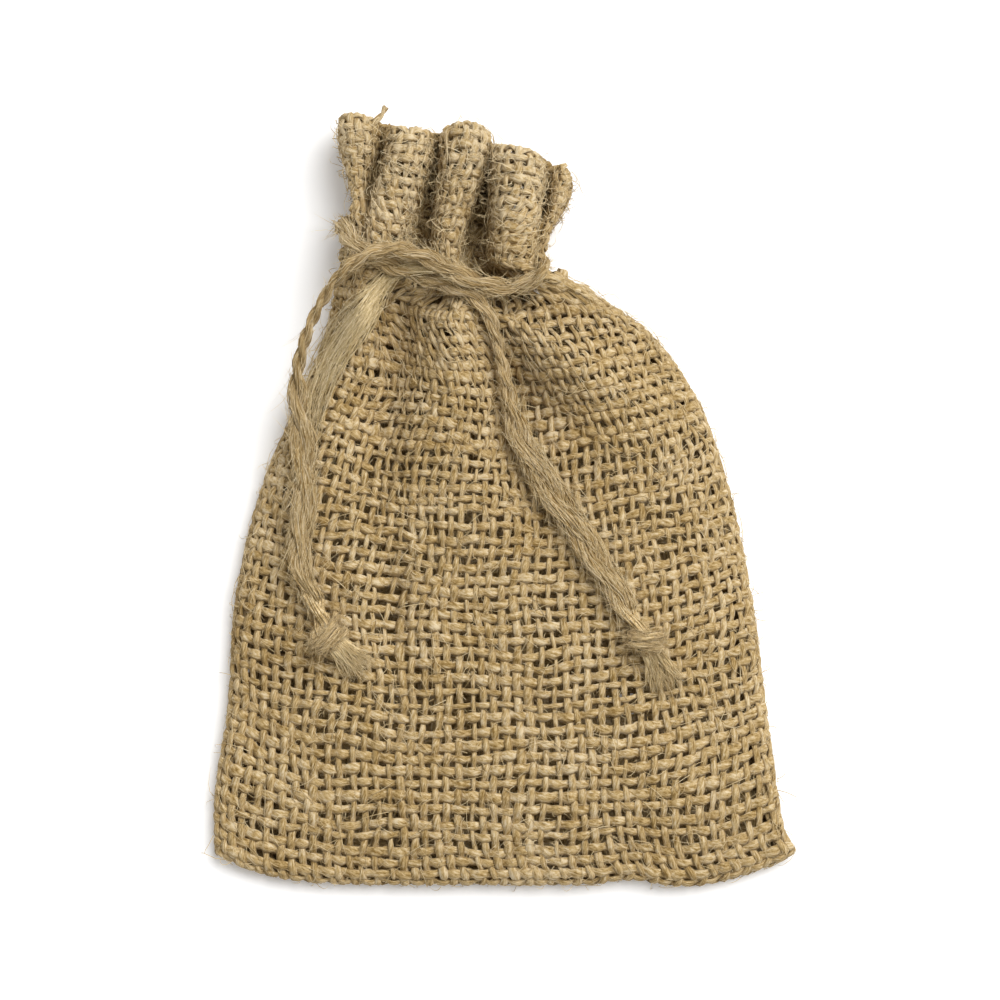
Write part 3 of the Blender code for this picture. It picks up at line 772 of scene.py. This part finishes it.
def woven_wefts(cloth, settings):
    """The yarns that run round the bag, each a closed ring over the front and back under the back.

    Their height is the crimp times a flattened sine with a half wave for each warp, against the warps' own.
    """
    rng = np.random.default_rng(23)
    pitch = CLOTH_HEIGHT / settings.rows
    total = settings.rows + int(cloth.hem / pitch)
    number = np.arange(total)[:, None]
    front = np.arange(settings.warps * 4) / (settings.warps * 4)
    back = 1.0 - np.arange(settings.warps * 2) / (settings.warps * 2)
    across = np.concatenate([front, back])
    face = np.concatenate([np.ones(len(front)), -np.ones(len(back))])
    ring = np.linspace(0.0, RING_LENGTH, len(across), endpoint=False)
    from_side = np.minimum(ring, RING_LENGTH - ring)
    along = (number + 0.5 + 0.07 * rng.normal(size=(total, 1))) * pitch
    sway = 0.10 * waves(rng, total, from_side, WANDER) + 0.20 * drift(across[None], along, 8)
    behind = np.where(face < 0, plateau(across), 0.0)
    sway = (sway + 0.5 * behind) * pitch
    along = (along + sway * smoothstep(along / 6.0)) * face
    place, normal, _, height = cloth.at(np.broadcast_to(across, along.shape), along)
    lag = 0.5 * behind * smoothstep(-along / 8.0)
    over = flat_topped(-face * np.sin(math.pi * (across * settings.warps - lag + number)))
    centre = place + normal * (over * settings.crimp / MM)[..., None]
    thick = uneven(rng, total, from_side, 0.14, 0.12)
    half_width = 0.5 * settings.weft_width / MM * np.clip(height, 0.5, 1.15) * np.clip(thick, 0.6, 1.45)
    half_width = half_width * (0.90 + 0.24 * np.abs(over)) * (1 + MOUTH_EXTRA * at_mouth(along))
    half_width = half_width * np.where(face < 0, BACK_WEFT, 1.0)
    half_height = 0.5 * settings.yarn_height / MM * np.clip(thick, 0.75, 1.25)
    return tubes("wefts", centre, normal, half_width, half_height, 5, closed=True)


def side_seams(cloth):
    """The yarns along each side, where the two faces are sewn together.

    Three turn round each other just inside the side of the cloth, and the others lie next to each other
    inside the front and the back, where the cut edges are turned in.
    """
    rng = np.random.default_rng(29)
    along = np.arange(0.4, CLOTH_HEIGHT - 0.4, 0.9)
    ropes, outward, size = [], [], []
    for side in (0.0, 1.0):
        place, normal, width, _ = cloth.at(np.full_like(along, side), along)
        slim = np.clip(width / 90.0, 0.5, 1.0)[:, None]
        up = unit(np.gradient(place, axis=0))
        level = unit(np.cross(up, normal))
        for k in range(3):
            turn = math.tau * (along / ROPE_TURN + k / 3) + 0.6 * waves(rng, 1, along, (5.0, 20.0))[0]
            round_it = np.cos(turn)[:, None] * normal + np.sin(turn)[:, None] * level
            ropes.append(place - (0.15 + 1.2 * (1 - slim)) * normal + ROPE_OUT * slim * round_it)
            outward.append(normal)
            size.append(ROPE_RADIUS)
        for face in (1.0, -1.0):
            for inward in EDGE_PLACES:
                across = inward + 0.002 * waves(rng, 1, along, (6.0, 25.0))[0]
                place, normal, _, _ = cloth.at(np.abs(side - across), along * face)
                ropes.append(place - EDGE_DEPTH * normal)
                outward.append(normal)
                size.append(EDGE_RADIUS)
    radius = np.array(size)[:, None] * (1 + 0.12 * waves(rng, len(ropes), along, (4.0, 15.0)))
    return tubes("seams", np.array(ropes), np.array(outward), radius, radius, 5)


def fibres(name, centre, radius):
    """Thin hairs along rows of points, which taper to their tips."""
    up = np.zeros_like(centre)
    up[..., 2] = 1.0
    tangent = unit(np.gradient(centre, axis=1))
    up[..., 0] += 0.6 * (np.abs(tangent[..., 2]) > 0.8)
    taper = np.linspace(0.0, 1.0, centre.shape[1])[None]
    thick = radius[:, None] * (1.0 - 0.75 * taper**2)
    return tubes(name, centre, up, thick, thick, 3)


def cloth_hairs(cloth, seed, count, points, lengths, lift, width, front_share, standing):
    """Loose fibres of the yarns, in shallow curls over the cloth.

    lengths is the least and the most length, lift the range of their height over the middle surface,
    and standing how far the boldest of them rise above that.
    """
    rng = np.random.default_rng(seed)
    face = np.where(rng.random((count, 1)) < front_share, 1.0, -1.0)
    across = rng.random((count, 1))
    along = rng.uniform(0.0, CLOTH_HEIGHT, (count, 1))
    at_hem = rng.random((count, 1)) < MOUTH_SHARE
    along = np.where(at_hem, CLOTH_HEIGHT - MOUTH_REACH * along, along) * face
    steps = np.linspace(0.0, 1.0, points)[None]
    length = lengths[0] + (lengths[1] - lengths[0]) * rng.random((count, 1)) ** 2.5
    angle = math.tau * rng.random((count, 1)) + rng.normal(0.0, 1.1, (count, 1)) * steps
    step = length / (points - 1)
    start = np.zeros((count, 1))
    x = np.concatenate([start, np.cumsum(step * np.cos(angle[:, 1:]), axis=1)], axis=1)
    y = np.concatenate([start, np.cumsum(step * np.sin(angle[:, 1:]), axis=1)], axis=1)
    local = cloth.at(across, along)[2]
    at = across + x / local
    past = PAST_SIDE * np.tanh((at - np.clip(at, 0.0, 1.0)) * local / PAST_SIDE)
    spot, normal, _, _ = cloth.at(np.clip(at, 0.0, 1.0), along + y)
    spot = spot + np.array([1.0, 0.0, 0.0]) * past[..., None]
    low = rng.uniform(*lift, (count, 1)) + rng.normal(0.0, 0.12, (count, 1)) * steps
    rise = standing * rng.random((count, 1)) ** 4 * np.sin(math.pi * np.minimum(steps * 0.9, 1.0))
    spot = spot + normal * (low + rise)[..., None]
    spot[..., 2] = np.maximum(spot[..., 2], 0.05)
    return fibres("hairs", spot, rng.uniform(*width, count))


def smooth_curve(table, count):
    """Evenly spaced points on a smooth curve through the table's rows, with its other columns."""
    rows = np.vstack([2 * table[0] - table[1], table, 2 * table[-1] - table[-2]])
    u = np.linspace(0.0, len(table) - 1.0, 40 * len(table))
    i = np.minimum(u.astype(int), len(table) - 2)
    t = (u - i)[:, None]
    a, b, c, d = rows[i], rows[i + 1], rows[i + 2], rows[i + 3]
    curve = 0.5 * (2 * b + (c - a) * t + (2 * a - 5 * b + 4 * c - d) * t**2 + (3 * b - a - 3 * c + d) * t**3)
    length = np.concatenate(([0.0], np.cumsum(np.linalg.norm(np.diff(curve[:, :3], axis=0), axis=1))))
    even = np.linspace(0.0, length[-1], count)
    return np.stack([np.interp(even, length, column) for column in curve.T], axis=-1)


def resting_height(x, y, radius):
    """The height at which a ball of this radius comes to rest on the front of the bag."""
    around, cloth = np.meshgrid(np.linspace(0.0, 0.5, 181), np.linspace(0.0, CLOTH_HEIGHT, 221))
    skin = cloth_point(around, cloth).reshape(-1, 3)
    height = np.zeros(len(x))
    for i in range(len(x)):
        away = (skin[:, 0] - x[i]) ** 2 + (skin[:, 1] - y[i]) ** 2
        near = away < radius[i] ** 2
        if near.any():
            height[i] = (skin[near, 2] + np.sqrt(radius[i] ** 2 - away[near])).max()
    return height


def laid(height, least, rounds):
    """Heights along a cord that bends evenly and stays above the least ones."""
    height = np.maximum(height, least)
    for _ in range(rounds):
        level = height.copy()
        level[1:-1] = 0.25 * height[:-2] + 0.5 * height[1:-1] + 0.25 * height[2:]
        height = np.maximum(level, least)
    return height


def cord_points(count):
    """The centreline of the cord, resting on the front and under the back of the neck."""
    x, y, z, on_front = smooth_curve(CORD_ROUTE, count).T
    rest = resting_height(x, y, np.full(len(x), 1.4))
    least = np.where(on_front > 0.5, np.maximum(z - 0.5, rest), z)
    z = laid(least, np.where(on_front > 0.5, rest, 0.0), 30)
    return np.stack([x, y, np.where(on_front > 0.02, z, least)], axis=-1)


def frames(path):
    """A side and an up direction along a path, turned as little as the path allows."""
    tangent = unit(np.gradient(path, axis=0))
    up = np.empty_like(path)
    up[0] = unit(np.array([0.0, 0.0, 1.0]) - tangent[0] * tangent[0, 2])
    for i in range(1, len(path)):
        up[i] = unit(up[i - 1] - tangent[i] * (up[i - 1] @ tangent[i]))
    return np.cross(tangent, up), up


def twisted_cord(path, half_width, half_height, turn_length, strands, strand_width, rng):
    """Two plies twisted round each other along a path: their cores, and the fibre bundles on them.

    In a section scaled to a unit circle a ply's middle is PLY_OUT out at the twist's angle. Its bundles lie
    round it, BUNDLES_OUT from its middle, and turn the other way at COUNTER_TURN of the twist.
    """
    side, up = frames(path)
    length = np.concatenate(([0.0], np.cumsum(np.linalg.norm(np.diff(path, axis=0), axis=1))))
    twist = np.concatenate(([0.0], np.cumsum(np.diff(length) / turn_length[1:]))) * math.tau
    cores, bundles = [], []

    def point(x, y):
        return path + side * (half_width * x)[:, None] + up * (half_height * y)[:, None]

    for angle in (twist, twist + math.pi):
        x0, y0 = PLY_OUT * np.cos(angle), PLY_OUT * np.sin(angle)
        cores.append(point(x0, y0))
        for k in range(strands):
            own = math.tau * (k + 0.35 * rng.normal()) / strands - COUNTER_TURN * twist
            own = own + 0.25 * waves(rng, 1, length, (6.0, 20.0))[0]
            out = rng.uniform(*BUNDLES_OUT) + 0.06 * waves(rng, 1, length, (5.0, 16.0))[0]
            bundles.append(point(x0 + out * np.cos(own), y0 + out * np.sin(own)))
    cores, bundles = np.array(cores), np.array(bundles)
    core_mesh = tubes("core", cores, np.broadcast_to(up, cores.shape),
                      np.broadcast_to(0.40 * half_width, cores.shape[:2]),
                      np.broadcast_to(0.42 * half_height, cores.shape[:2]), 10)
    radius = 0.5 * strand_width * rng.uniform(0.7, 1.35, (len(bundles), 1))
    radius = radius * (1 + 0.2 * waves(rng, len(bundles), length, (5.0, 20.0)))
    radius = np.clip(radius, 0.06, 0.28)
    wide = np.sqrt(half_width / 1.3)[None]
    strand_mesh = tubes("strands", bundles, np.broadcast_to(up, bundles.shape), radius * wide, radius, 3)
    return core_mesh, strand_mesh


def cord_hairs(path, half_width, rng, count, reach):
    """Loose fibres that leave a cord at a shallow angle and curl away from it."""
    side, up = frames(path)
    tangent = unit(np.gradient(path, axis=0))
    at = rng.choice(len(path), count, p=half_width**2 / (half_width**2).sum())
    angle = math.tau * rng.random(count)
    out = side[at] * np.cos(angle)[:, None] + up[at] * np.sin(angle)[:, None]
    along = tangent[at] * rng.choice([-1.0, 1.0], (count, 1))
    steps = np.linspace(0.0, 1.0, 5)[None, :, None]
    length = 0.8 + reach * rng.random((count, 1, 1)) ** 2
    curl = rng.normal(0.0, 0.5, (count, 1, 3))
    flare = 0.08 + 0.7 * rng.random((count, 1, 1)) ** 2
    spot = (path[at] + out * (0.85 * half_width[at])[:, None])[:, None]
    run = along[:, None] * steps + out[:, None] * flare * steps**1.5 + 0.5 * curl * steps**2
    spot = spot + length * run
    spot[..., 2] = np.maximum(spot[..., 2], 0.05)
    return fibres("hairs", spot, rng.uniform(0.03, 0.06, count))


def loose_fan(rng, count):
    """Single fibres of the loose ply, which start together and spread over the cloth in a thin layer."""
    x, y, least, half_width = smooth_curve(LOOSE_PLY, 200).T
    rest = resting_height(x, y, np.full(len(x), 0.8))
    middle = np.stack([x, y, laid(np.maximum(least, rest), rest, 20)], axis=-1)
    side = frames(middle)[0]
    begin = 0.45 * rng.random((count, 1)) ** 2
    end = np.clip(begin + rng.uniform(0.3, 0.9, (count, 1)), 0.0, 1.0)
    share = begin + (end - begin) * np.linspace(0.0, 1.0, 34)[None]
    at = share * (len(x) - 1)
    low = np.minimum(at.astype(int), len(x) - 2)
    part = (at - low)[..., None]

    def along(values):
        return values[low] * (1 - part) + values[low + 1] * part

    offset = np.clip(0.5 * rng.normal(size=(count, 1)), -1.3, 1.3)
    offset = offset + 0.16 * waves(rng, count, np.linspace(0.0, 60.0, 34), (15.0, 50.0))
    spot = along(middle) + along(side) * (offset[..., None] * along(half_width[:, None]))
    flat = spot.reshape(-1, 3)
    rest = resting_height(flat[:, 0], flat[:, 1], np.full(len(flat), 0.5)).reshape(spot.shape[:2])
    bunch = 1.0 - smoothstep(share / 0.35)
    spot[..., 2] = (rest + rng.uniform(0.0, 0.35, (count, 1))) * (1 - bunch) + (
        spot[..., 2] + rng.uniform(-0.5, 0.5, (count, 1))) * bunch
    return fibres("fan", spot, rng.uniform(0.06, 0.13, count))


def knot_wrap(middle, band, rest):
    """The path of the two wraps of a knot: a flat coil whose upper sides run along band.

    It is an ellipse along band that moves on along the coil's axis as it turns.
    """
    band = unit(np.array([*band, 0.0]))
    axis = np.array([band[1], -band[0], 0.0])
    turn = np.linspace(-0.6 * math.pi, 3.5 * math.pi, 64)
    advance = np.linspace(-COIL_BREADTH, COIL_BREADTH, len(turn)) + 0.35 * np.sin(turn)
    spot = (COIL_LENGTH * np.cos(turn))[:, None] * -band + advance[:, None] * axis
    spot[:, 2] += rest + COIL_HEIGHT * np.sin(turn)
    return spot + np.array([*middle, 0.0])


def knot_core(start, heading, middle, tuft_way, rest):
    """The strand that runs through a knot: from the cord's end, inside the wraps, to the tuft."""
    middle = np.array([*middle, rest])
    tuft_way = np.array([*tuft_way, 0.0])
    rows = np.stack([start - 2.0 * unit(heading), start, 0.45 * start + 0.55 * middle, middle,
                     middle + 2.6 * tuft_way])
    return smooth_curve(rows, 30)


def tuft(count, rng, root, way, length, width):
    """Frayed fibres side by side in a flat brush, which sinks on to the cloth and is cut off."""
    way = unit(np.array([*way, 0.0]))
    aside = np.array([-way[1], way[0], 0.0])
    steps = np.linspace(0.0, 1.0, 8)[None, :]
    place = rng.uniform(-1.0, 1.0, (count, 1))
    own = place * width * (0.75 + 0.35 * steps) + 0.9 * rng.normal(size=(count, 1)) * steps**2
    turns = steps * rng.uniform(0.5, 1.3, (count, 1)) + rng.random((count, 1))
    own = own + 0.45 * steps * np.sin(math.tau * turns)
    reach = length * np.clip(rng.normal(0.88, 0.14, (count, 1)), 0.4, 1.1) * (1 - 0.12 * place**2)
    spot = root + (reach * steps)[..., None] * way + own[..., None] * aside
    flat = spot.reshape(-1, 3)
    rest = resting_height(flat[:, 0], flat[:, 1], np.full(len(flat), 0.75)).reshape(spot.shape[:2])
    layer = rng.uniform(0.0, 1.0, (count, 1))
    high = rest + 1.5 * layer * (1 - place**2) * (1 - 0.55 * steps)
    spot[..., 2] = spot[..., 2] + (high - spot[..., 2]) * smoothstep(steps / 0.5)
    return fibres("tuft", spot, rng.uniform(0.06, 0.12, count))


class BAG_OT_weave(bpy.types.Operator):
    """Weave the cloth of the bag from its warps and wefts"""

    bl_idname = "jute_bag.weave"
    bl_label = "Weave the cloth"

    def execute(self, context):
        settings = context.scene.jute_cloth
        cloth = Cloth(settings.hem / MM)
        yarn = settings.yarn_dark, settings.yarn_middle, settings.yarn_light
        warps, wefts, seams = (
            piece(name, mesh, jute_material(look, strips, length, yarn))
            for name, mesh, look, strips, length in (
                ("warps", woven_warps(cloth, settings), "warp yarn", settings.warps, 270.0),
                ("wefts", woven_wefts(cloth, settings), "weft yarn", settings.rows, RING_LENGTH),
                ("side_seams", side_seams(cloth), "seam yarn", 18, CLOTH_HEIGHT)))
        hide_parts("bag")
        return {"FINISHED"}


class BAG_OT_hairs(bpy.types.Operator):
    """Add the loose fibres of the cloth, its yarn end and the dark fibre on the front"""

    bl_idname = "jute_bag.hairs"
    bl_label = "Add loose fibres to the cloth"

    def execute(self, context):
        settings = context.scene.jute_cloth
        cloth = Cloth(settings.hem / MM)
        hair = settings.hair_dark, settings.hair_middle, settings.hair_light
        short = settings.yarn_dark, settings.yarn_middle, settings.hair_light
        hairs = cloth_hairs(cloth, seed=31, count=settings.hairs, points=5, lengths=(1.0, 7.5),
                            lift=(0.60, 0.90), width=(0.050, 0.080), front_share=0.86, standing=1.8)
        fuzz = cloth_hairs(cloth, seed=37, count=settings.fuzz, points=3, lengths=(0.9, 2.8),
                           lift=(-0.35, 0.70), width=(0.050, 0.095), front_share=0.72, standing=0.0)
        stub = smooth_curve(YARN_END, 14)
        even = np.ones(len(stub))
        rng = np.random.default_rng(41)
        yarn_end = joined("yarn end", twisted_cord(stub, 0.55 * even, 0.55 * even, 6.0 * even, 12, 0.20, rng))
        x, y, _ = smooth_curve(DARK_FIBRE, 16).T
        line = np.stack([x, y, resting_height(x, y, np.full(len(x), 0.4))], axis=-1)
        dark = fibres("dark", line[None], np.array([0.09]))
        for name, mesh, look in (
                ("cloth_hairs", hairs, jute_material("hair", settings.hairs, 8.0, hair, bump=0.0)),
                ("cloth_fuzz", fuzz, jute_material("fuzz", settings.fuzz, 3.0, short, bump=0.0)),
                ("yarn_end", yarn_end, jute_material("yarn end", 40, 6.0, short, change=2.0)),
                ("dark_fibre", dark, jute_material("dark fibre", 1, 10.0, DARK_JUTE, bump=0.0))):
            piece(name, mesh, look)
        return {"FINISHED"}


class BAG_OT_cord(bpy.types.Operator):
    """Lay the drawcord and tie the knots at its ends"""

    bl_idname = "jute_bag.cord"
    bl_label = "Lay the drawcord"

    def execute(self, context):
        settings = context.scene.jute_cord
        rng = np.random.default_rng(47)
        path = cord_points(260)
        share = np.linspace(0.0, 1.0, len(path))
        width, height, turn = (np.interp(share, CORD_BODY[:, 0], CORD_BODY[:, k]) for k in (1, 2, 3))
        bundle = settings.strands, settings.strand_width / MM, rng
        core, strands = twisted_cord(path, width, height, turn, *bundle)
        colours = settings.cord_dark, settings.cord_middle, settings.cord_light
        fibre_count = 2 * settings.strands
        cord, fibre, hair = (
            piece(name, mesh, look) for name, mesh, look in (
                ("cord_core", core, jute_material("cord core", 2, CORD_LENGTH, colours)),
                ("cord_fibres", strands,
                 jute_material("cord fibre", fibre_count, CORD_LENGTH, colours, change=2.0, bump=0.2)),
                ("cord_hairs", cord_hairs(path, width, rng, settings.hairs, reach=4.5),
                 jute_material("cord hair", 500, 6.0, HAIR, bump=0.0))))
        fan_look = jute_material("fan", settings.fan, 45.0, FAN, change=1.6, bump=0.0)
        tuft_look = jute_material("tuft", settings.tuft, 8.0, TUFT, change=1.6, bump=0.0)
        knot_look = jute_material("knot", fibre_count, 60.0, KNOT, change=1.6, bump=0.2)
        for name, start, heading in (("knot_left", path[0], path[0] - path[5]),
                                     ("knot_right", path[-1], path[-1] - path[-6])):
            middle, band, tuft_way, tuft_length = KNOTS[name]
            rest = resting_height(np.array(middle[:1]), np.array(middle[1:]), np.array([2.1]))[0]
            wrap = knot_wrap(middle, band, rest)
            inner = knot_core(start, heading, middle, tuft_way, rest)
            meshes = []
            for run, wide, high in ((wrap, np.full(len(wrap), WRAP_WIDTH), WRAP_HEIGHT),
                                    (inner, np.linspace(width[0], 1.5, len(inner)), 1.1)):
                even = np.ones(len(run))
                meshes += twisted_cord(run, wide, high * even, KNOT_TWIST * even, *bundle)
            root = np.array([*middle, rest]) + 1.6 * np.array([*tuft_way, 0.0])
            brush = tuft(settings.tuft, rng, root, tuft_way, tuft_length, width=2.25)
            meshes.append(cord_hairs(wrap, np.full(len(wrap), WRAP_WIDTH), rng, 700, reach=3.0))
            piece(f"{name}_body", joined(name, meshes), knot_look)
            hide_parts(name)
            piece(f"{name}_tuft", brush, tuft_look)
        piece("cord_fan", loose_fan(rng, settings.fan), fan_look)
        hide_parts("drawcord")
        return {"FINISHED"}


class BAG_OT_stage(bpy.types.Operator):
    """Set the floor, the lights and the camera over the bag"""

    bl_idname = "jute_bag.stage"
    bl_label = "Set the stage"

    def execute(self, context):
        settings = context.scene.jute_stage
        scene = context.scene
        bpy.ops.mesh.primitive_plane_add(size=6.0, location=(0.0, 0.0, -0.0002))
        floor = context.object
        floor.name = "floor"
        white = bpy.data.materials.new("floor")
        white.use_nodes = True
        shader = white.node_tree.nodes["Principled BSDF"]
        for socket, value in (("Base Color", (0.97, 0.97, 0.97, 1.0)), ("Roughness", 0.9),
                              ("Specular IOR Level", 0.0), ("Emission Color", (1.0, 1.0, 1.0, 1.0)),
                              ("Emission Strength", 0.12)):
            shader.inputs[socket].default_value = value
        floor.data.materials.append(white)

        world = bpy.data.worlds.new("sky")
        world.use_nodes = True
        world.node_tree.nodes["Background"].inputs["Color"].default_value = (1.0, 1.0, 1.0, 1.0)
        world.node_tree.nodes["Background"].inputs["Strength"].default_value = settings.sky
        scene.world = world
        key = bpy.data.lights.new("key", "SUN")
        key.energy = settings.sun
        key.angle = math.radians(46.0)
        lamp = bpy.data.objects.new("key", key)
        lamp.rotation_euler = (math.radians(-24.0), math.radians(25.0), 0.0)
        scene.collection.objects.link(lamp)

        camera = bpy.data.cameras.new("camera")
        camera.sensor_width = 36.0
        camera.lens = 36.0 * settings.height / settings.view
        camera.clip_end = 20.0
        eye = bpy.data.objects.new("camera", camera)
        eye.location = (-0.00077, -0.00094, settings.height)
        scene.collection.objects.link(eye)
        scene.camera = eye
        scene.view_settings.view_transform = "Standard"
        return {"FINISHED"}


class BAG_PT_panel(bpy.types.Panel):
    """The bag's settings in the 3D view's sidebar"""

    bl_label = "Jute bag"
    bl_space_type = "VIEW_3D"
    bl_region_type = "UI"
    bl_category = "Jute bag"

    def draw(self, context):
        for group, operators in (("jute_cloth", ("jute_bag.weave", "jute_bag.hairs")),
                                 ("jute_cord", ("jute_bag.cord",)), ("jute_stage", ("jute_bag.stage",))):
            settings = getattr(context.scene, group)
            box = self.layout.box()
            for name in settings.__annotations__:
                box.prop(settings, name)
            for operator in operators:
                box.operator(operator)


GROUPS = (("jute_cloth", ClothSettings), ("jute_cord", CordSettings), ("jute_stage", StageSettings))
CLASSES = (BAG_OT_weave, BAG_OT_hairs, BAG_OT_cord, BAG_OT_stage, BAG_PT_panel)


def register():
    for name, group in GROUPS:
        bpy.utils.register_class(group)
        setattr(bpy.types.Scene, name, bpy.props.PointerProperty(type=group))
    for item in CLASSES:
        bpy.utils.register_class(item)


def unregister():
    for item in reversed(CLASSES):
        bpy.utils.unregister_class(item)
    for name, group in reversed(GROUPS):
        delattr(bpy.types.Scene, name)
        bpy.utils.unregister_class(group)


def main():
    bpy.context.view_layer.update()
    register()
    bpy.ops.jute_bag.weave()
    bpy.ops.jute_bag.hairs()
    bpy.ops.jute_bag.cord()
    bpy.ops.jute_bag.stage()


if __name__ == "__main__":
    main()
